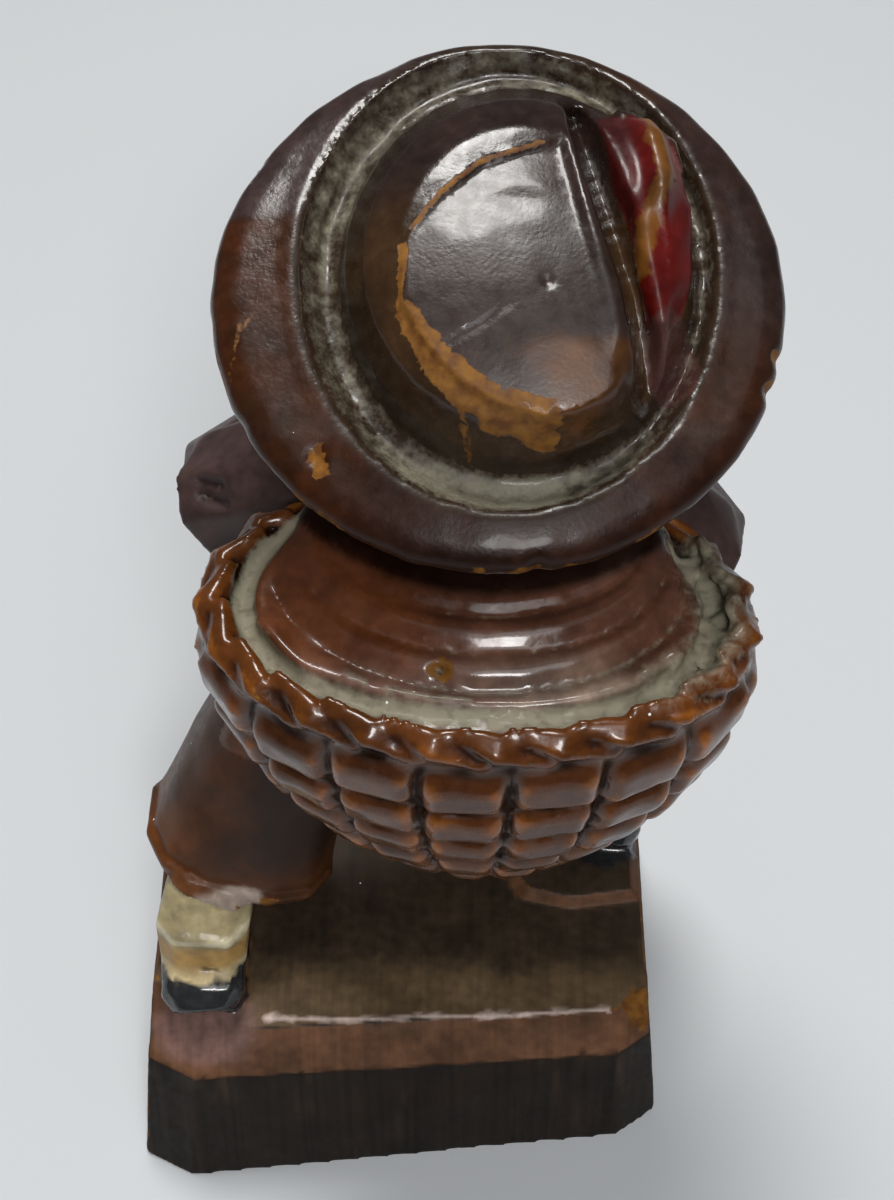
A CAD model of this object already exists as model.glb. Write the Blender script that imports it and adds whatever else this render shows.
import itertools
import math

import bpy
import numpy as np
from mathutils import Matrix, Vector


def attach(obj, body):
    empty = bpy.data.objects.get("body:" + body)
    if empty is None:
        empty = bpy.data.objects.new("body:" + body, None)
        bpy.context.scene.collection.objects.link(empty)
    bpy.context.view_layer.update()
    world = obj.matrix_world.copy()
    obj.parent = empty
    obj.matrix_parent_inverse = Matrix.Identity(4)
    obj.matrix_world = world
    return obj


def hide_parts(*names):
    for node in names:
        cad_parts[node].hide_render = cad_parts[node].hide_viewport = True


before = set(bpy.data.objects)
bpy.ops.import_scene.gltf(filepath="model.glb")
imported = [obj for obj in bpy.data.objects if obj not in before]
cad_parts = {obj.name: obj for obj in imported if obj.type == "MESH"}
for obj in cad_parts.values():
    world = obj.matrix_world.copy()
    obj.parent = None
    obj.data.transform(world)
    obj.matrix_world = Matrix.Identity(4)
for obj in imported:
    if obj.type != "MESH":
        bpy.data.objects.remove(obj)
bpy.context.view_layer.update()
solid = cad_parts["carved_boy"]

# The carving: one block of close-grained wood, cut with knife and gouge and then lacquered. The boy, his
# hat, his basket and the plinth are one piece, so the solid's own skin is remade here, fine enough to take
# the marks of the tools, and what follows cuts and paints that one skin.
MM = 0.001
SKIN_STEP = 0.33 * MM
SAME_PLACE = 0.001 * MM
bpy.ops.object.select_all(action="DESELECT")
carving = bpy.data.objects.new("carved_boy_wood", solid.data.copy())
bpy.context.collection.objects.link(carving)
carving.select_set(True)
bpy.context.view_layer.objects.active = carving
bpy.ops.object.mode_set(mode="EDIT")
bpy.ops.mesh.select_all(action="SELECT")
bpy.ops.mesh.remove_doubles(threshold=SAME_PLACE)
bpy.ops.object.mode_set(mode="OBJECT")
bpy.ops.object.modifier_add(type="REMESH")
remesh = carving.modifiers[-1]
remesh.mode = "VOXEL"
remesh.voxel_size = SKIN_STEP
bpy.ops.object.modifier_apply(modifier=remesh.name)
skin = carving.data
skin.materials.clear()


def read(mesh, what):
    """The places or normals of a mesh's vertices, one row each."""
    flat = np.empty(len(mesh.vertices) * 3, np.float32)
    mesh.vertices.foreach_get(what, flat)
    return flat.reshape(-1, 3).astype(float)


def write(mesh, places):
    """Moves a mesh's vertices to places in millimetres."""
    mesh.vertices.foreach_set("co", (places * MM).astype(np.float32).ravel())
    mesh.update()


# The skin's vertices in pairs that lie beside each other
pairs = np.empty(len(skin.edges) * 2, np.int32)
skin.edges.foreach_get("vertices", pairs)
one, other = pairs.reshape(-1, 2).T
beside = np.bincount(pairs, minlength=len(skin.vertices))


def averaged(rows):
    """Each vertex's rows averaged over its neighbours."""
    total = np.empty_like(rows)
    for k in range(rows.shape[1]):
        total[:, k] = np.bincount(one, rows[other, k], len(rows))
        total[:, k] += np.bincount(other, rows[one, k], len(rows))
    return total / beside[:, None]


LEAST_RUBBING = 0.002


def rub(places, amount, times, strength=0.5):
    """Rubs part of the skin smooth: amount says how much, from 0 to 1, at each vertex."""
    from_here, to_there = np.concatenate([one, other]), np.concatenate([other, one])
    rubbed = amount[from_here] > LEAST_RUBBING
    spots, row = np.unique(from_here[rubbed], return_inverse=True)
    to_there = to_there[rubbed]
    share = strength * amount[spots, None] / beside[spots, None]
    for _ in range(times):
        sums = [np.bincount(row, places[to_there, k], len(spots)) for k in range(3)]
        total = np.column_stack(sums)
        places[spots] += share * (total - places[spots] * beside[spots, None])


# The remade skin's small steps are smoothed by going in and out in turn, so that it doesn't shrink
SMOOTH_IN, SMOOTH_OUT = 0.5, -0.52
place = read(skin, "co") / MM
for share in (SMOOTH_IN, SMOOTH_OUT) * 5:
    place += share * (averaged(place) - place)


def smooth(value, start, end):
    """Rises smoothly from 0 at start to 1 at end."""
    share = np.clip((value - start) / (end - start), 0, 1)
    return share * share * (3 - 2 * share)


def noise(points, size, seed):
    """Smooth noise from -1 to 1, in lumps of about that size: one number, or one for each axis."""
    grid = points / np.array(size, float) + seed * 17.3
    cell = np.floor(grid).astype(np.int64)
    share = smooth(grid - cell, 0, 1)
    total = np.zeros(len(points))
    for corner in itertools.product((0, 1), repeat=points.shape[1]):
        mixed = np.zeros(len(points), np.int64)
        weight = np.ones(len(points))
        for k, step in enumerate(corner):
            mixed ^= (cell[:, k] + step) * (73856093, 19349663, 83492791)[k]
            weight *= share[:, k] if step else 1 - share[:, k]
        mixed = (mixed ^ (mixed >> 13)) * 1274126177
        total += weight * ((mixed ^ (mixed >> 16)) % 65536 / 32768 - 1)
    return total


def from_spot(points, spot, stretch=(1, 1, 1)):
    """How far each point is from a spot, in lengths that may differ along the axes."""
    return np.linalg.norm((points - spot) / stretch, axis=1)


def mark(distance, width):
    """A soft mark, 1 at its middle and fading away over its width."""
    return np.exp(-((distance / width) ** 2))


def from_line(points, line):
    """How far each point is from a line drawn through the given places."""
    nearest = np.full(len(points), 1e9)
    for start, end in zip(np.array(line[:-1], float), np.array(line[1:], float)):
        run = end - start
        share = np.clip((points - start) @ run / (run @ run), 0, 1)
        nearest = np.minimum(nearest, np.linalg.norm(points - start - share[:, None] * run, axis=1))
    return nearest


def inside(points, outline):
    """How far each flat point lies inside a closed outline, and below 0 outside it."""
    ring = np.array(outline + outline[:1], float)
    within = np.zeros(len(points), bool)
    for (x0, y0), (x1, y1) in zip(ring[:-1], ring[1:]):
        crosses = (y0 > points[:, 1]) != (y1 > points[:, 1])
        within ^= crosses & (points[:, 0] < (x1 - x0) * (points[:, 1] - y0) / (y1 - y0 + 1e-12) + x0)
    return np.where(within, 1, -1) * from_line(points, ring.tolist())


# The hat's own level frame: across, back and up from the middle of its brim
HAT_AT = np.array([-9.3, -10.0, 103.5])
HAT_TILT = math.radians(21)
HAT_HALF = (24.0, 23.8)


def on_hat(points):
    """Each point's place in the hat's frame."""
    x, y, z = (points - HAT_AT).T
    across = x
    back = y * math.cos(HAT_TILT) - z * math.sin(HAT_TILT)
    up = y * math.sin(HAT_TILT) + z * math.cos(HAT_TILT)
    return across, back, up


# The basket's own frame: across and back as shares of its rim, and its height
BASKET_AT = np.array([-7.6, 6.44, 83.0])
BASKET_TURN = math.radians(4.4)
BASKET_HALF = (24.0, 15.4)


def on_basket(points):
    """Each point's place in the basket's frame."""
    x, y, z = (points - BASKET_AT).T
    across = x * math.cos(BASKET_TURN) - y * math.sin(BASKET_TURN)
    back = x * math.sin(BASKET_TURN) + y * math.cos(BASKET_TURN)
    return across / BASKET_HALF[0], back / BASKET_HALF[1], z


def ring_share(across, back, half, middle=(0, 0)):
    """How far out a place is from the middle of an oval, where 1 lies on it."""
    return np.hypot((across - middle[0]) / half[0], (back - middle[1]) / half[1])


# Each trouser leg's hem, and the way that the leg runs up from it
HEMS = {
    "left": ((17.4, -1.9, 30.6), (-0.326, -0.213, 0.921)),
    "right": ((-20.6, -12.7, 31.2), (0.16, -0.16, 0.975)),
}
BETWEEN_LEGS = -3


def above_hems(points):
    """How high each point is above the hem of the leg on its side."""
    heights = [(points - hem) @ np.array(run) for hem, run in HEMS.values()]
    return np.where(points[:, 0] > BETWEEN_LEGS, *heights)


# Outlines in the hat's frame: the groove's two edges, the crown's flat top, the feather and the cleft
GROOVE_OUTER = ((17.0, 20.9), (-0.7, -1.8))
GROOVE_INNER = ((14.6, 17.4), (-1.7, -1.9))
CROWN_TOP = [(7.5, -1.2), (6.6, -3.1), (4.8, -5.3), (1.6, -8.1), (-3.5, -9.9), (-6.4, -11.3), (-8.0, -4.6),
             (-9.8, 3.1), (-10.8, 7.3), (-9.2, 11.6), (-6.3, 12.7), (-3.3, 13.3), (0.2, 12.2), (3.2, 10.2),
             (5.5, 7.7), (7.8, 3.9)]
FEATHER = [(-8.1, -13.8), (-11.6, -14.2), (-13.8, -11.3), (-15.4, -7.7), (-15.6, -1.5), (-14.5, 2.9),
           (-12.8, 5.6), (-11.9, 4.6), (-11.2, 0.3), (-10.6, -2.4), (-9.4, -6.8)]
CLEFT = [(-6.0, -15.7), (-8.9, -4.8), (-10.8, 2.4), (-11.8, 7.6), (-12, 11)]

# The neck and head by height: how far back the middle lies, and the half width across and deep
SKULL = [(85, -16.4, 3, 2.8), (86.2, -15.4, 4.9, 4.9), (88.7, -13.4, 7.2, 7.8), (91.9, -12.3, 8.5, 9.4),
         (96.5, -11.8, 9.2, 10.2), (102, -11.5, 9.2, 10.2)]
BOY_MIDDLE = -7.8

# Where one part of the carving gives way to the next, all but the load's edge in millimetres
PLINTH_TOP = 20.15
STEP_TOP = 21.5
RIGHT_SHOE = ((5.8, 8.8), (-23, -12.4))
COAT_HEM = 54.6
HEAD_FROM = 84.8
HAIR_FROM = 90.5
FISTS = [(3.4, -24.4, 77.6), (-17.4, -24, 77.6)]
FIST_REACH = 5.2
LOAD_EDGE = 0.845


def skull_share(points):
    """How far out each point is from the head's own axis, where 1 is its skin."""
    levels, middles, wide, deep = zip(*SKULL)
    x, y, z = points.T
    over = (x - BOY_MIDDLE) / np.interp(z, levels, wide)
    return np.hypot(over, (y - np.interp(z, levels, middles)) / np.interp(z, levels, deep))


def parts_of(points):
    """Which part of the carving each point is on, one mask for each part."""
    across, back, up = on_hat(points)
    x, y, z = points.T
    found = {}
    found["hat"] = (up > -4.7) & (ring_share(across, back, HAT_HALF) < 1.05) & (z > 88)
    found["groove"] = found["hat"] & (up > -1.2) & (up < 2.6)
    found["groove"] &= ring_share(across, back, *GROOVE_OUTER) < 1.03
    found["groove"] &= ring_share(across, back, *GROOVE_INNER) > 0.96
    found["crown"] = found["hat"] & (up > 0.3) & (ring_share(across, back, *GROOVE_INNER) < 1.0)
    found["feather"] = found["hat"] & (up > 0.6) & (inside(np.stack([across, back], 1), FEATHER) > -0.2)
    side, deep, rise = on_basket(points)
    share = np.hypot(side, deep)
    found["pack"] = ~found["hat"] & (y > -5.4) & (share < 1.14) & (rise > -32) & (rise < 6)
    found["load"] = found["pack"] & (share < LOAD_EDGE) & (rise > -2.2)
    beside_shoe = ring_share(x, y, *RIGHT_SHOE) > 1
    found["plinth"] = (z < PLINTH_TOP) | (z < STEP_TOP) & (x < BETWEEN_LEGS) & beside_shoe
    rest = ~found["hat"] & ~found["pack"] & ~found["plinth"]
    left = x > BETWEEN_LEGS
    found["shoe"] = rest & np.where(left, z < 24.0 + 0.2 * np.clip(y - 7, 0, 6), z < 25.6)
    found["sock"] = rest & ~found["shoe"] & (z < 40) & (above_hems(points) < -0.25)
    found["trousers"] = rest & ~found["shoe"] & ~found["sock"] & (z < COAT_HEM)
    around = np.hypot(x - BOY_MIDDLE, (y + 12) / 1.15)
    near_skull = (skull_share(points) < 1.12) | (z > HAIR_FROM) & (around < 12.6)
    found["head"] = rest & (z > HEAD_FROM) & near_skull
    found["hair"] = found["head"] & (y > -17.5) & (z > HAIR_FROM)
    upper = rest & (z >= COAT_HEM) & ~found["head"]
    from_fist = np.minimum(*[from_spot(points, fist) for fist in FISTS])
    found["hand"] = upper & (from_fist < FIST_REACH) & (y < -22.4)
    found["coat"] = upper & ~found["hand"]
    return found


# Saw and knife leave flats, and rubbing down rounds them: most on the load and the trousers
part = parts_of(place)
side, deep, rise = on_basket(place)
woven = part["pack"] & ~part["load"]
left_of_load = part["load"] * smooth(side, 0.12, 0.4)
upper_leg = part["trousers"] * smooth(above_hems(place), 2.0, 4.5)
across, back, up = on_hat(place)
from_cleft = from_line(np.stack([across, back], 1), CLEFT)
by_cleft = part["hat"] * smooth(up, -1.0, 0.2) * smooth(from_cleft, 3.2, 2.0)
brim_edge = part["hat"] & (up > -3) & (ring_share(across, back, HAT_HALF) > 0.9)
rounds = [
    (part["load"], 22),
    (left_of_load, 20),
    (woven & (rise < -1.5), 15),
    (woven, 2),
    (upper_leg, 60),
    (part["coat"], 10),
    (part["head"], 3),
    (part["hand"], 6),
    (by_cleft, 24),
    (part["feather"], 5),
    (brim_edge, 30),
]
for mask, times in rounds:
    amount = mask.astype(float)[:, None]
    for _ in range(3):
        amount = averaged(amount)
    rub(place, amount[:, 0], times)
write(skin, place)
normal = read(skin, "normal")

# The bars stand prouder and the cuts between them go deeper than the solid gives them
SETTLE_ROUNDS = 60
settled = place.copy()
for area in (woven, part["load"]):
    rub(settled, area.astype(float), SETTLE_ROUNDS, strength=1.0)
proud = ((place - settled) * normal).sum(1)
raised_by = np.where(part["load"], 0.9, 0.5)
cut_by = np.where(part["load"], 0.9, np.where(rise < -1.5, 1.7, 1.2))
place += (raised_by * np.maximum(proud, 0) + cut_by * np.minimum(proud, 0))[:, None] * normal
write(skin, place)
normal = read(skin, "normal")
across, back, up = on_hat(place)
flat = np.stack([across, back], 1)
side, deep, rise = on_basket(place)
rim_share = np.maximum(np.hypot(side, deep), 0.05)
from_axis = np.hypot(side * BASKET_HALF[0], deep * BASKET_HALF[1])
margin = from_axis * (1 / rim_share - 1)
x, y, z = place.T
move = 0.07 * noise(place, 6, 1) + 0.035 * noise(place, 1.7, 2)

# Hat: a wide brim round a low crown, with a feather laid in the cleft. Gouge flutes are left in the front
# of the groove and knife facets round the brim, and the crown's polished top has a crisp, nicked edge.
outer = ring_share(across, back, *GROOVE_OUTER)
inner = ring_share(across, back, *GROOVE_INNER)
over_groove = np.clip((1.02 - outer) / np.maximum(inner - outer, 0.02), 0, 1)
front = smooth(back, 4, -8)
low_enough = part["hat"] * smooth(up, 2.8, 1.8) * (normal[:, 2] > 0)
in_groove = low_enough * smooth(outer, 1.02, 0.95) * smooth(inner, 0.97, 1.04)
flutes = in_groove * front
move -= flutes * 0.3 * np.abs(np.sin(over_groove * 7 + 0.6 * noise(place, 4, 3)))
move += in_groove * 0.09 * noise(place, 1.3, 4)
brim = part["hat"] & (up > -1.0) & (outer > 1)
turn = np.arctan2(back, across)
move -= brim * 0.1 * np.abs(np.sin(turn * 4.5 + 0.7)) * smooth(np.hypot(across, back), 18, 24)
move -= brim * 0.06 * np.clip(-6.5 - back, 0, 6) * smooth(across, 4, 12)
move += low_enough * 0.16 * mark(outer - 1.04, 0.045)
top = inside(flat, CROWN_TOP)
crown = part["crown"] & ~part["feather"] & (up > 2.5)
flat_top = 8.5 - 0.008 * (across + 1.7) ** 2 - 0.012 * (back - 1) ** 2
lift = np.clip(flat_top - up, -0.8, 0.8) * smooth(top, -0.2, 0.4)
lift -= 0.4 * np.exp(-np.clip(-top, 0, 9) / 1.6) * smooth(top, 0.2, -0.3)
lift *= smooth(across - (-8.6 - 0.21 * back), 0.6, 2.0)
hat_up = np.array([0, math.sin(HAT_TILT), math.cos(HAT_TILT)])
raised = (crown * lift)[:, None] * hat_up
CROWN_CUT = [(4.2, 7.3), (1.7, 6.0), (-0.9, 4.0)]
move -= crown * 0.12 * mark(from_line(flat, CROWN_CUT), 0.35)
dent = np.hypot(across + 3.6, back - 2.4)
move -= crown * 0.3 * mark(dent, 0.5)
BRIM_NICKS = [(14.6, 14.3), (-22.8, 5.4), (-21.9, 8.4), (9.1, 22.8), (21.4, 11.5), (-3, 23.4)]
for chip in BRIM_NICKS:
    move -= part["hat"] * 0.4 * mark(np.hypot(across - chip[0], back - chip[1]), 0.8)
feather = part["feather"]
SPINE = [(-12.2, -13.4), (-13.4, -7.7), (-11.6, -3.2), (-11.2, 0.4), (-12.4, 4.6)]
spine = from_line(flat, SPINE)
move += feather * (0.35 * mark(spine, 0.7) - 0.25 * mark(spine - 1.9, 0.9))

# Basket: bars cut to look woven under a twisted rim, with the load as a smooth mound inside a trench. The
# load carries scars, a leaf and a knot, and its right end is torn and cracked.
LEAF = [(10.8, 8.4, 83.5), (9.7, 9.4, 83.8), (8.0, 11.8, 83.7), (5.9, 14.3, 83.3)]
HOLLOW_BY_LEAF = [(11.2, 10.6, 83.2), (9.6, 13.0, 83), (7.6, 15.6, 83.6)]
KNOT = (-4.4, 13.9, 84.5)
TEAR = [(-26.6, 0.6, 84.3), (-27.9, 4.4, 84), (-28.0, 9.6, 84), (-26.2, 12.6, 83.6), (-23.0, 14.9, 83.2)]
CRACK = [(-26.4, 0.6, 83.6), (-27.6, 3.4, 83), (-27.9, 5.6, 82.8), (-27.1, 8.4, 83.1)]
SCARS = [[(3.3, 13.4, 83.9), (1.6, 14.7, 83.9)], [(-0.2, 15.3, 84), (-3.7, 16.1, 83.9), (-7, 16.4, 83.9)],
         [(-1.6, 14.6, 84.4), (-3.0, 15.0, 84.4)], [(6.4, 9.8, 84.6), (5.2, 11.4, 84.4)]]
pack = part["pack"]
leaf = from_line(place, LEAF)
move += pack * (0.55 * mark(leaf, 0.7) - 0.4 * mark(from_line(place, HOLLOW_BY_LEAF), 1.1))
knot = from_spot(place, KNOT)
move -= pack * 0.7 * mark(knot, 0.6)
trench = pack * smooth(rise, -4, -2.4) * smooth(rise, 2.2, 1.4)
trench = trench * smooth(margin, 2.8, 3.4) * smooth(margin, 5.4, 4.4)
move -= 0.7 * trench * smooth(margin, 3.0, 3.8)
for scar in SCARS:
    move += pack * 0.16 * mark(from_line(place, scar), 0.35)
torn = pack * mark(from_line(place, TEAR), 2.3) * (rise > -2.4)
move += torn * (0.45 * noise(place, 1.3, 6) + 0.3 * noise(place, 0.6, 7) - 0.1)
move -= pack * 0.8 * mark(from_line(place, CRACK), 0.45)
move += trench * 0.12 * noise(place, 0.9, 8)
bars = pack & ~part["load"] & (rise < 1)
move += bars * 0.12 * noise(place, 2.2, 9)

# Boy: his coat, trousers and socks are cut in flats and rubbed down. Knife notches cross his left sleeve,
# the hems are worn to a lip, a ridge crosses the left sock and the shoes are scuffed.
NOTCHES = [[(17.6, -10.4, 78.1), (15.2, -9.0, 78.5)], [(17.9, -11.4, 79), (15.8, -10.2, 79.6)]]
SOCK_FOLD = [(23, 10.4, 30.6), (16, 10.6, 29.4)]
for notch in NOTCHES:
    move -= part["coat"] * 0.5 * mark(from_line(place, notch), 0.55)
move += part["sock"] * 0.35 * mark(from_line(place, SOCK_FOLD), 0.7)
move += (part["shoe"] | part["sock"]) * 0.08 * noise(place, 0.9, 10)
move += part["trousers"] * 0.16 * noise(place, 5, 11)
under_coat = part["trousers"] * smooth(z, COAT_HEM - 2.2, COAT_HEM - 0.5)
move -= 0.4 * under_coat
jaw = skull_share(place)
move -= part["coat"] * (z > 84) * (y < -12) * 0.5 * mark(jaw - 1.14, 0.06)
above_hem = above_hems(place)
hem_lip = part["trousers"] * smooth(above_hem, 1.9, 1.3)
move += 0.3 * hem_lip - 0.2 * part["trousers"] * mark(above_hem - 2.1, 0.5)

# Plinth: the foot of the block, sawn to leaning sides. Saw lines run down its back and sides, and a
# knife-cut edge wanders along the chamfer.
plinth = part["plinth"]
upright = smooth(np.abs(normal[:, 2]), 0.45, 0.2)
saw = noise(place, (0.8, 0.8, 40), 12) + 0.6 * noise(place, (1.9, 1.9, 60), 13)
move -= plinth * upright * 0.07 * np.abs(saw)
slope = smooth(normal[:, 2], 0.4, 0.55) * smooth(normal[:, 2], 0.95, 0.85)
move -= plinth * slope * 0.16 * np.abs(noise(place, (3.6, 3.6, 2.5), 14))
EDGE = [(14.5, 14.2, 20), (5.4, 14.5, 20), (-2.2, 14.0, 20), (-10.8, 14.0, 20), (-22.7, 13.2, 20)]
edge_line = from_line(place, EDGE)
move += plinth * 0.1 * mark(edge_line, 0.35) * (0.6 + 0.6 * noise(place, 1.6, 15))

# All the marks are cut at once, and their sharpest points are eased
EASE_IN, EASE_OUT = 0.5, -0.4
place += raised + move[:, None] * normal
for share in (EASE_IN, EASE_OUT):
    place += share * (averaged(place) - place)
place[:, 2] = np.maximum(place[:, 2], 0)
write(skin, place)
normal = read(skin, "normal")

# Wear and dirt follow the form: ridges lose their lacquer and hollows keep the dust
NEAR_ROUNDS = 6
WIDE_ROUNDS = 30
settled = place.copy()
for _ in range(NEAR_ROUNDS):
    settled = averaged(settled)
near = ((settled - place) * normal).sum(1)
for _ in range(WIDE_ROUNDS):
    settled = averaged(settled)
wide = ((settled - place) * normal).sum(1)
deep_in = smooth(wide, 0.02, 0.35)
ridge = smooth(-near, 0.03, 0.14)
hollow = np.clip(0.6 * smooth(near, 0.03, 0.15) + 0.7 * smooth(wide, 0.08, 0.45), 0, 1)


def colour(code):
    """A colour as written for screens, turned to the linear light that shaders use."""
    value = np.array([int(code[i : i + 2], 16) / 255 for i in (1, 3, 5)])
    return np.where(value <= 0.04045, value / 12.92, ((value + 0.055) / 1.055) ** 2.4)


# What each vertex carries: its paint, and how glossy, worn and dusty it is
paint = np.tile(colour("#4a2d1b"), (len(place), 1))
gloss = np.full(len(place), 0.75)
worn = np.zeros(len(place))
patina = np.zeros(len(place))


def brush(mask, code, strength=1.0):
    """Lays a colour over part of the carving."""
    amount = np.clip(np.asarray(mask, float) * strength, 0, 1)[:, None]
    paint[:] = paint * (1 - amount) + colour(code) * amount


def wear_down(amount):
    """Rubs the lacquer down to the wood."""
    np.maximum(worn, amount, out=worn)


def gather_dust(amount):
    """Lets grey dust lie on the carving."""
    np.maximum(patina, amount, out=patina)


# Unevenness of the hand-laid colours, broad and fine
patchy = noise(place, 5, 20)
fine = noise(place, 1.2, 21)
blurred = patchy + 0.6 * fine

# Colours of the hat: dark brown lacquer, mauve where it lies thick, amber where it has worn thin
hat = part["hat"]
brush(hat, "#4b2c19")
lower_left = smooth(back + 0.5 * fine, -6.9, -6.1) * smooth(across, 6, 17)
brush(brim, "#3b1f0c", 0.8)
brush(brim, "#331c13", 0.9 * smooth(back, 8, 17) * smooth(across, 22, 10))
brush(brim, "#50270c", 0.8 * lower_left * smooth(blurred, -1.0, 0.8))
brush(brim, "#473836", 0.9 * smooth(back + 0.4 * fine, -6.2, -7.0) * smooth(across, -4, 8))
brush(brim, "#3a2924", 0.95 * smooth(across, -10, -16) * smooth(back, 9, 1))
brush(brim, "#4a2614", 0.7 * smooth(across, -8, -15) * smooth(back, 2, 9) * smooth(blurred, -0.4, 0.5))
brush(hat & (up < -0.6), "#3a2215", 0.8)
brush(part["crown"], "#46301b")
brush(part["crown"], "#34241e", smooth(back, -2, -8) * (top < 0))
brush(crown, "#382822", smooth(top, -0.1, 0.3))
lower_right = crown * smooth(top, 0, 0.5) * smooth(across, 1, -5) * smooth(back + 0.9 * fine, 6.4, 7.6)
brush(lower_right, "#573416", 0.9)
AMBER_EDGE = [(7.7, -0.8), (7.9, 3.9), (5.6, 7.7), (3.0, 10.7), (0.0, 12.2), (-3.3, 13.0)]
amber = from_line(flat, AMBER_EDGE)
breadth = 0.35 + 1.0 * smooth(back, 2, 10) + 0.35 * noise(place, 1.6, 22)
wear_down(crown * smooth(amber - breadth, 0.15, -0.15))
HAIRLINE = [(7.0, -2.4), (4.8, -5.4), (1.6, -8.2), (-3.5, -10.0)]
hairline = from_line(flat, HAIRLINE)
wear_down(0.75 * crown * smooth(hairline, 0.35, 0.1))
spot = np.hypot(across + 5.4, (back - 10.6) * 0.8)
brush(crown * smooth(spot + 0.9 * noise(place, 1.3, 23), 3.0, 1.6), "#6e4114", 0.8)
STREAK = [(3.2, 11.0), (2.9, 13.0), (2.0, 15.6), (3.2, 16.6)]
streak = from_line(flat, STREAK)
wear_down(0.5 * part["crown"] * smooth(streak, 0.5, 0.2))
BRIM_SCAR = [(21.8, 7.6), (21.0, 3.3), (19.2, 1.7)]
wear_down(0.42 * brim * smooth(from_line(flat, BRIM_SCAR), 0.5, 0.15))
BARE_CHIPS = [(14.6, 14.0), (14.2, 15.3), (-22.9, 5.4), (-22.2, 8.0)]
for chip in BARE_CHIPS:
    chipped = np.hypot(across - chip[0], back - chip[1]) + 0.4 * noise(place, 0.7, 24)
    wear_down(hat * smooth(chipped, 0.9, 0.5))
rim = smooth(ring_share(across, back, HAT_HALF), 0.965, 0.99) * hat * (up > -2)
rubbed = patchy + 0.9 * fine + 0.5 * smooth(across, 0, 20)
wear_down(rim * smooth(rubbed, 0.2, 1.0) * 0.7)
gloss[crown & (top > 0)] = 0.4
gloss = np.where(brim, gloss - 0.62 * smooth(back, 9, 14), gloss)
streaks = noise(np.stack([over_groove * 6, turn * 2.5, place[:, 0] * 0], 1), 1, 25)
groove_dust = 0.26 + 0.34 * streaks + 0.2 * front + 0.4 * smooth(back, 11, 16)
gather_dust(in_groove * groove_dust)
gather_dust(part["groove"] * smooth(hollow, 0.25, 0.8) * 0.3)
brush(part["groove"], "#3b2c20")
bright_end = in_groove * smooth(back, 14.5, 16.5) * smooth(np.abs(across - 2.2), 7.5, 5.5)
brush(feather, "#650e08")
brush(feather, "#3c0d09", 0.85 * smooth(across, -11.5, -9.8))
brush(feather & (spine < 0.75 + 0.3 * fine) & (back < 1), "#80521d", 0.9 * smooth(up, 1.5, 2.5))
pale = np.hypot(across + 14.3, (back + 9.6) / 1.7)
brush(feather, "#8d5350", 0.8 * smooth(pale + 0.4 * fine, 1.5, 0.7))
under = hat & (up > -0.5) & (np.hypot(across + 13.8, (back - 6.6) / 1.4) < 2.3)
brush(under, "#5f3c37", 0.85)

# Colours of the basket and its load: amber lacquer rubbed bright on the bars, purplish brown on the load
brush(pack, "#6b3b15")
on_rim = 0.5 * smooth(rise, -3.4, -2.4)
brush(bars, "#5d3010", 0.6 * smooth(ridge - on_rim, 0.3, 0.0))
brush(bars, "#a8611c", 0.85 * smooth(ridge + 0.4 * blurred - on_rim, 0.3, 1.0))
brush(bars & (rise > -1.5), "#2a1206", 0.8 * smooth(near, 0.0, 0.07))
brush(bars, "#150a04", 0.85 * deep_in)
wear_down(bars * (rise > -3.5) * ridge * smooth(fine + patchy, 0.2, 1.0) * 0.42)
wear_down(bars * ridge * smooth(fine + patchy, 0.1, 1.0) * 0.45)
load = part["load"]
brush(load, "#7d5d50")
brush(load, "#b09a88", 0.85 * smooth(side + 0.1 * blurred, 0.1, -0.5) * smooth(deep, 0.2, 0.45))
warm = smooth(across + 0.8 * blurred, 2, 9) * smooth(deep, 0.62, 0.3)
brush(load, "#84481b", 0.8 * warm)
brush(load, "#6d3a20", 0.6 * smooth(deep + 0.1 * blurred, 0.55, 0.3))
gloss = np.where(load, 0.95 - 0.5 * smooth(side, 0.15, 0.4), gloss)
below_brim = ring_share(across, back - 0.29 * up, HAT_HALF)
gap = load * smooth(below_brim, 1.09, 1.04)
brush(gap, "#0d0705", 0.9)
gloss = gloss * (1 - 0.9 * gap)
gather_dust(trench * (0.9 + 0.1 * fine))
bright_end = np.maximum(bright_end, 0.22 * trench)
gather_dust(torn * 0.95)
gather_dust(0.45 * load * smooth(hollow, 0.2, 0.7))
gather_dust(0.5 * load * smooth(from_line(place, HOLLOW_BY_LEAF), 2.6, 1.2))
wear_down(0.6 * load * smooth(knot + 0.5 * fine, 1.3, 0.9))
brush(pack & (knot < 0.75), "#120905")
for scar in SCARS:
    gather_dust(0.6 * load * smooth(from_line(place, scar), 0.5, 0.2))

# Colours of the boy: mauve-grey coat, brown trousers rubbed orange at the hem, cream socks, black shoes
brush(part["coat"], "#55413e")
brush(part["coat"], "#3a2826", 0.8 * smooth(hollow, 0.15, 0.6))
brush(part["coat"] & (normal[:, 2] < -0.1), "#4a3632", 0.6)
brush(part["trousers"], "#553118")
hem = part["trousers"] * smooth(z + 0.8 * blurred, 38, 33)
brush(part["trousers"] & (y > 0), "#1c110a", 0.75 * smooth(x, 17.5, 12))
hem_corner = from_spot(place, (24.8, 1.5, 34.8))
corner = part["trousers"] * smooth(hem_corner + blurred, 9, 3)
brush(np.maximum(0.45 * hem, corner), "#7a4418", 0.85)
hem_ridge = ridge * smooth(z, 36, 33)
wear_down(part["trousers"] * hem_ridge * smooth(fine + patchy, -0.5, 0.5) * 0.55)
brush(under_coat, "#1c110a", 0.6)
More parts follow.
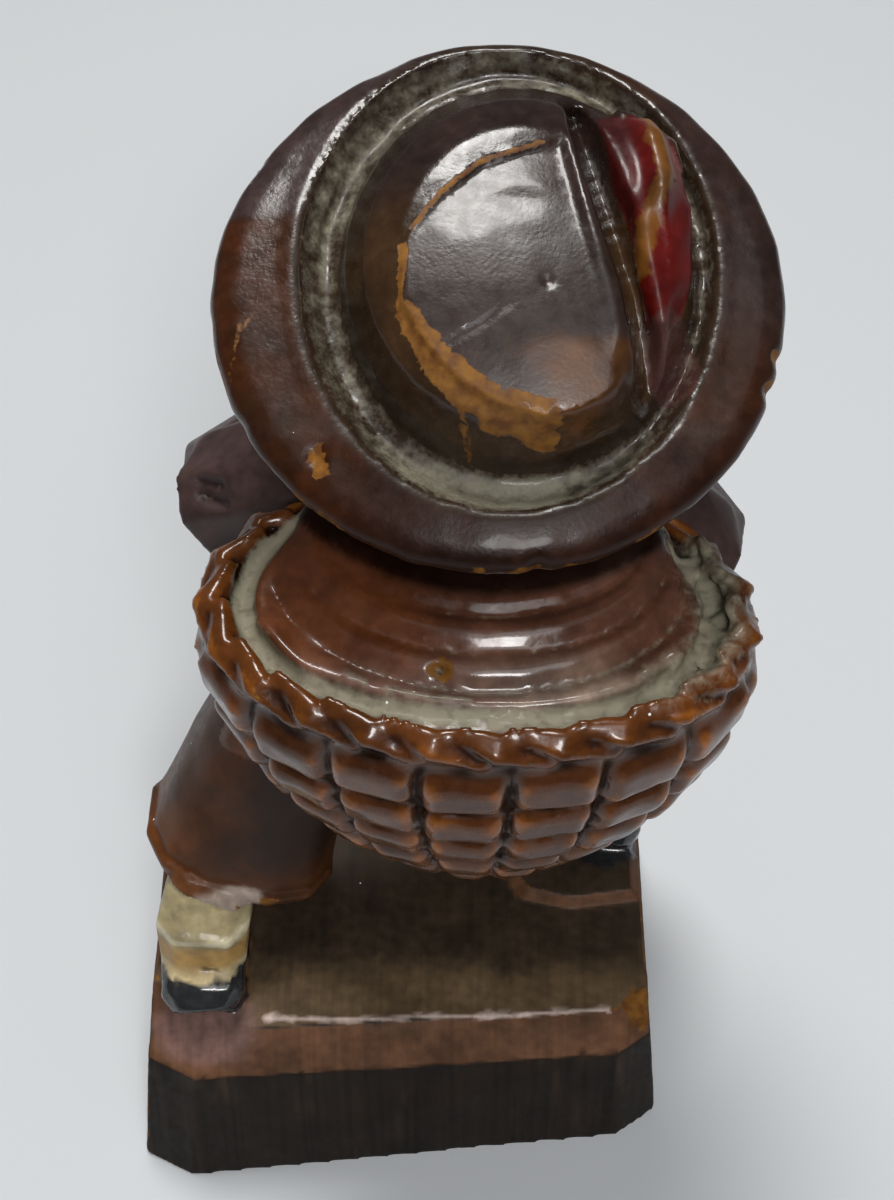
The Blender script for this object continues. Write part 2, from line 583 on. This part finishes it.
brush(hem_lip, "#8a5a34", 0.5 * smooth(patchy, -0.5, 0.6))
facet = from_spot(place, (17.6, 7.2, 33.2), (4.6, 3, 1.3))
brush(part["trousers"], "#b9a79a", 0.9 * smooth(facet + 0.3 * fine, 1.1, 0.7))
sock = part["sock"]
brush(sock, "#c4b487")
brush(sock, "#f5e6b8", smooth(z, 26.6, 25.4))
brush(sock, "#d8a658", 0.8 * smooth(z, 29.4, 28.4) * smooth(z, 24.5, 26.5))
brush(sock, "#fff2cc", 0.9 * smooth(np.abs(z - 29.9), 0.7, 0.3))
brush(sock, "#5b4426", 0.8 * smooth(hollow + 0.3 * fine, 0.3, 0.7))
gloss[sock] = 0.55
brush(part["shoe"], "#2e2f31")
heel = from_spot(place, (26.2, 11.5, 20.6))
brush(part["shoe"] * smooth(heel + 0.6 * fine, 2.8, 1.6), "#6b3a1c", 0.9)

# Colours of the boy's head and hands: warm skin, closed lids and calm brows, lips and a little red cheek
brush(part["head"], "#b98a5c")
brush(part["head"], "#5d3820", 0.7 * smooth(hollow, 0.15, 0.6))
from_middle = np.abs(x - BOY_MIDDLE)
face = part["head"] & (y < -17)
lips = np.hypot(from_middle / 2.5, (z - 89.4) / 1.0)
brush(face, "#8a4533", 0.8 * smooth(lips, 1.0, 0.7))
mouth = np.hypot(from_middle / 2.4, (z - 89.37) / 0.22)
brush(face, "#2a1109", 0.9 * smooth(mouth, 1.2, 0.7))
from_eye = from_middle - 3.9
lid = np.hypot(from_eye / 1.7, (z - 96.3 - 0.09 * from_eye**2) / 0.3)
brush(face, "#1d110b", 0.95 * smooth(lid, 1.1, 0.7))
from_brow = from_middle - 4.2
brow = np.hypot(from_brow / 2.4, (z - 99.1 + 0.09 * from_brow**2) / 0.4)
brush(face, "#2b1a12", 0.75 * smooth(brow, 1.1, 0.6))
cheek = np.hypot(from_middle - 5.4, z - 92.4)
brush(face, "#a8604a", 0.45 * smooth(cheek, 2.2, 0.6))
brush(part["hair"], "#2b1a12")
brush(part["hand"], "#b98a5c")
brush(part["hand"], "#5d3820", 0.7 * smooth(hollow, 0.15, 0.6))

# Colours of the plinth: a thin olive-brown coat over dark wood, red-brown on the chamfer, bare on its edge
brush(plinth, "#251a11")
brush(plinth, "#453728", smooth(normal[:, 2], 0.9, 0.97))
brush(plinth, "#7f684c", smooth(normal[:, 2], 0.9, 0.97) * smooth(y + 0.5 * patchy, 6, 11))
brush(plinth, "#7d563c", slope)
brush(plinth, "#2a1f17", 0.7 * upright * smooth(saw, -0.2, -1.0))
brush(plinth, "#4a3a2a", 0.5 * upright * smooth(saw, 0.3, 1.1))
stain = from_spot(place, (21, 14.5, 18.6), (1.5, 1, 1))
brush(plinth * smooth(stain + 0.6 * fine, 4.6, 3.4), "#94726a", 0.85)
brush(plinth * smooth(edge_line + 0.12 * fine, 0.34, 0.14), "#ffe6da", 0.95)
worn_corner = from_spot(place, (-26, 12.8, 18), (1, 1, 2))
wear_down(0.75 * plinth * smooth(worn_corner + fine, 2.6, 1.2))
wear_down(plinth * ridge * (z > 2) * smooth(fine + patchy, -0.2, 0.8) * 0.5)
gloss[plinth] = 0.35
gloss[plinth & (slope > 0.5)] = 0.6

# Dust also dulls what lies deep, and it covers part of the wear
gather_dust(0.35 * smooth(hollow, 0.45, 0.95) * (part["coat"] | part["head"]))
dull = np.maximum(bars * deep_in, 0.8 * hollow * (part["coat"] | plinth))
gloss = gloss * (1 - 0.95 * dull)
patina = np.clip(patina, 0, 1)
worn = np.clip(worn * (1 - 0.7 * patina), 0, 1)
state = np.stack([worn, patina, gloss, bright_end], 1)
for name, values in (("paint", np.column_stack([paint, np.ones(len(place))])), ("state", state)):
    layer = skin.attributes.new(name, "FLOAT_COLOR", "POINT")
    layer.data.foreach_set("color", values.astype(np.float32).ravel())

# The skin is thinned where nothing happens, and kept fine where the carving and its colours are seen
FACES_WANTED = 192000
GROUP_PULL = 2e-6
KEPT_FINE = 0.02
seen = hat & (up > -1) | pack | (sock | part["trousers"]) & (x > 6) & (y > -4)
seen |= plinth & (edge_line < 1.3) | part["head"] & (y < -12)
group = carving.vertex_groups.new(name="thinned")
group.add(np.flatnonzero(~seen).tolist(), 1.0, "REPLACE")
group.add(np.flatnonzero(seen).tolist(), KEPT_FINE, "REPLACE")
skin.calc_loop_triangles()
bpy.ops.object.modifier_add(type="DECIMATE")
thin = carving.modifiers[-1]
thin.ratio = FACES_WANTED / len(skin.loop_triangles)
thin.vertex_group = group.name
thin.vertex_group_factor = GROUP_PULL
thin.use_collapse_triangulate = True
bpy.ops.object.modifier_apply(modifier=thin.name)
skin = carving.data
carving.vertex_groups.clear()
bpy.ops.object.shade_smooth()


# The shared colours of bare wood, old dust and the pale specks that have settled on it
OCHRE = [(0.1, 0.034, 0.004, 1), (0.2, 0.085, 0.011, 1)]
GRIME = [(0.075, 0.064, 0.044, 1), (0.23, 0.215, 0.155, 1)]
PALE_SPECK = (0.72, 0.72, 0.68, 1)
SPECK_CELLS = 420.0
FEW_CELLS = 0.93
SPECK_SIZE = 0.055
DUST_ROUGHNESS = 0.72
COAT_ROUGHNESS = 0.11
PIT_DEPTH = 0.03 * MM


def lacquer(name, rough=0.3, coat=0.5, pits=1.0, mirror=0.3, grain=None, grain_depth=0.0):
    """Old lacquer on wood: mottled colour, bare wood on the worn edges, dust in the hollows, fine pits."""
    material = bpy.data.materials.new(name)
    material.use_nodes = True
    nodes, links = material.node_tree.nodes, material.node_tree.links
    surface = nodes["Principled BSDF"]

    def node(kind, inputs=(), **settings):
        """One node, with a value or a link for each input named."""
        made = nodes.new(kind)
        for key, value in settings.items():
            setattr(made, key, value)
        for key, value in dict(inputs).items():
            if isinstance(value, bpy.types.NodeSocket):
                links.new(value, made.inputs[key])
            else:
                made.inputs[key].default_value = value
        return made

    def maths(operation, first, second, clamp=False):
        """The result of one sum on two values."""
        made = node("ShaderNodeMath", {0: first, 1: second}, operation=operation, use_clamp=clamp)
        return made.outputs[0]

    def ramp(value, low, high, start=0.0, end=1.0):
        """A value that goes from start to end while another goes from low to high."""
        steps = {0: value, 1: low, 2: high, 3: start, 4: end}
        made = node("ShaderNodeMapRange", steps, clamp=True)
        return made.outputs[0]

    def mixed(amount, first, second):
        """Two colours mixed."""
        made = node("ShaderNodeMix", {0: amount, 6: first, 7: second}, data_type="RGBA")
        return made.outputs[2]

    spot = node("ShaderNodeTexCoord").outputs["Object"]

    def lumps(size, detail=3.0, scale=(1, 1, 1)):
        """Cloudy unevenness in lumps of about that size."""
        turned = {"Vector": spot, "Rotation": (0, 0, 0.17), "Scale": scale}
        moved = node("ShaderNodeMapping", turned).outputs[0]
        made = node("ShaderNodeTexNoise", {"Vector": moved, "Scale": 1 / size, "Detail": detail})
        return made.outputs["Fac"]

    painted = node("ShaderNodeAttribute", attribute_name="paint").outputs["Color"]
    kept = node("ShaderNodeAttribute", attribute_name="state")
    state_parts = node("ShaderNodeSeparateColor", {0: kept.outputs["Color"]})
    is_worn, is_dusty, is_glossy = state_parts.outputs
    broad, small, tiny = lumps(4.5 * MM), lumps(1.1 * MM, 4.0), lumps(0.35 * MM, 2.0)
    shade = ramp(broad, 0.3, 0.7, 0.37, 0.75)
    shade = maths("MULTIPLY", shade, ramp(small, 0.3, 0.7, 0.82, 1.16))
    facing = node("ShaderNodeNewGeometry").outputs["Normal"]
    upward = node("ShaderNodeSeparateXYZ", {0: facing}).outputs[2]
    if grain:
        lines = lumps(0.7 * MM, 3.0, grain)
        streaks = ramp(lines, 0.32, 0.68, 0.55, 1.45)
        streaks = maths("POWER", streaks, ramp(upward, 0.2, 0.6, 1.0, 0.25))
        shade = maths("MULTIPLY", shade, streaks)
    shades = node("ShaderNodeCombineXYZ", {0: shade, 1: shade, 2: shade}).outputs[0]
    base = node("ShaderNodeVectorMath", {0: painted, 1: shades}, operation="MULTIPLY").outputs[0]
    breakup = maths("SUBTRACT", maths("ADD", small, tiny), 1.0)
    bare = ramp(maths("ADD", is_worn, maths("MULTIPLY", breakup, 0.45)), 0.33, 0.52)
    ochre = mixed(ramp(small, 0.35, 0.65), *OCHRE)
    base = mixed(bare, base, ochre)
    dust = ramp(maths("ADD", is_dusty, maths("MULTIPLY", breakup, 0.55)), 0.2, 0.8, 0, 0.85)
    paler = ramp(maths("ADD", small, kept.outputs["Alpha"]), 0.35, 0.7)
    grime = mixed(paler, *GRIME)
    base = mixed(dust, base, grime)
    cells = node("ShaderNodeTexVoronoi", {"Vector": spot, "Scale": SPECK_CELLS})
    lot = node("ShaderNodeSeparateColor", {0: cells.outputs["Color"]}).outputs[0]
    few = maths("GREATER_THAN", lot, FEW_CELLS)
    speck = maths("MULTIPLY", maths("LESS_THAN", cells.outputs["Distance"], SPECK_SIZE), few)
    speck = maths("MULTIPLY", speck, maths("GREATER_THAN", upward, 0.35))
    base = mixed(speck, base, PALE_SPECK)
    links.new(base, surface.inputs["Base Color"])

    matt = maths("MAXIMUM", maths("MAXIMUM", dust, speck), maths("MULTIPLY", bare, 0.7))
    roughness = ramp(matt, 0, 1, rough, DUST_ROUGHNESS)
    roughness = maths("ADD", roughness, ramp(small, 0.3, 0.7, -0.05, 0.09))
    roughness = maths("ADD", roughness, ramp(is_glossy, 0.3, 1.0, 0.12, -0.04), clamp=True)
    links.new(roughness, surface.inputs["Roughness"])
    open_place = ramp(is_glossy, 0.0, 0.3)
    coated = maths("MULTIPLY", maths("SUBTRACT", 1.0, matt, clamp=True), open_place)
    links.new(maths("MULTIPLY", coated, coat), surface.inputs["Coat Weight"])
    links.new(maths("MULTIPLY", open_place, mirror), surface.inputs["Specular IOR Level"])
    surface.inputs["Coat Roughness"].default_value = COAT_ROUGHNESS

    height = maths("ADD", maths("MULTIPLY", tiny, 0.45 * pits), maths("MULTIPLY", small, 0.8))
    height = maths("ADD", height, maths("MULTIPLY", dust, -0.3))
    height = maths("ADD", height, maths("MULTIPLY", bare, -0.5))
    height = maths("ADD", height, maths("MULTIPLY", speck, 1.2))
    if grain:
        height = maths("ADD", height, maths("MULTIPLY", lines, grain_depth))
    relief = node("ShaderNodeBump", {"Strength": 1.0, "Distance": PIT_DEPTH, "Height": height})
    links.new(relief.outputs[0], surface.inputs["Normal"])
    return material


# Finishes, one for each surface that took its lacquer in its own way
FINISHES = {
    "hat": lacquer("hat_lacquer", rough=0.22, coat=0.2, pits=1.6, mirror=0.32),
    "pack": lacquer("basket_lacquer", rough=0.25, coat=0.38, pits=0.7, mirror=0.22),
    "coat": lacquer("coat_lacquer", rough=0.4, coat=0.05, mirror=0.22),
    "feather": lacquer("feather_lacquer", rough=0.36, coat=0.1, pits=0.5),
    "sock": lacquer("sock_paint", rough=0.42, coat=0.15, pits=1.4),
    "shoe": lacquer("shoe_paint", rough=0.22, coat=0.6, pits=1.2),
    "plinth": lacquer(
        "plinth_wood", rough=0.46, coat=0.0, pits=0.8, mirror=0.2, grain=(1, 0.05, 0.02), grain_depth=1.2
    ),
}
order = list(FINISHES)
for finish in FINISHES.values():
    skin.materials.append(finish)
middles = np.empty(len(skin.polygons) * 3, np.float32)
skin.polygons.foreach_get("center", middles)
face_part = parts_of(middles.reshape(-1, 3) / MM)
finish_of = np.full(len(skin.polygons), order.index("coat"), np.int32)
for name in order:
    finish_of[face_part[name]] = order.index(name)
skin.polygons.foreach_set("material_index", finish_of)
skin.update()
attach(carving, "root")
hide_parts("carved_boy")

# Studio: a plain floor of pale matt paper, wide enough to fill the picture and to take the soft shadows
bpy.ops.mesh.primitive_plane_add(size=6)
floor = bpy.context.object
floor.name = "floor"
paper = bpy.data.materials.new("pale_floor")
paper.use_nodes = True
paper_surface = paper.node_tree.nodes["Principled BSDF"]
paper_surface.inputs["Base Color"].default_value = (0.56, 0.58, 0.60, 1)
paper_surface.inputs["Roughness"].default_value = 0.9
floor.data.materials.append(paper)


# Lights: a lamp in front, a small window and a skylight behind, and a wide soft light overhead
def soft_light(name, place, target, size, power, tint):
    """A round soft light that is turned to a target."""
    bpy.ops.object.light_add(type="AREA", location=place)
    light = bpy.context.object
    light.name = name
    light.rotation_euler = (Vector(target) - Vector(place)).to_track_quat("-Z", "Y").to_euler()
    light.data.shape = "DISK"
    light.data.size = size
    light.data.energy = power
    light.data.color = tint


soft_light("lamp", (0.04, -0.23, 0.67), (-0.005, 0, 0.09), 0.22, 3.5, (1, 0.985, 0.96))
soft_light("window", (-0.06, 0.38, 0.50), (-0.005, 0, 0.07), 0.13, 1.5, (1, 0.99, 0.98))
soft_light("ceiling", (-0.1, 0.1, 0.9), (0, 0, 0.05), 0.9, 0.8, (1, 0.99, 0.97))
soft_light("skylight", (-0.11, 0.27, 0.62), (-0.005, 0, 0.07), 0.26, 0.5, (0.98, 0.99, 1))
world = bpy.data.worlds.new("room")
world.use_nodes = True
room_light = world.node_tree.nodes["Background"]
room_light.inputs["Color"].default_value = (0.80, 0.85, 0.92, 1)
room_light.inputs["Strength"].default_value = 0.11
bpy.context.scene.world = world
bpy.context.scene.view_settings.view_transform = "Standard"

# Camera: behind the boy and above him, where the photograph was taken
CAMERA_AT = (-0.0051, 0.1087, 0.219)
CAMERA_DOWN = math.radians(52.8)
bpy.ops.object.camera_add(location=CAMERA_AT)
camera = bpy.context.object
looking = Vector((0, -math.cos(CAMERA_DOWN), -math.sin(CAMERA_DOWN)))
camera.rotation_euler = looking.to_track_quat("-Z", "Y").to_euler()
camera.data.sensor_width = 36
camera.data.lens = 60
camera.data.clip_start = 0.01
camera.data.dof.use_dof = False
bpy.context.scene.camera = camera
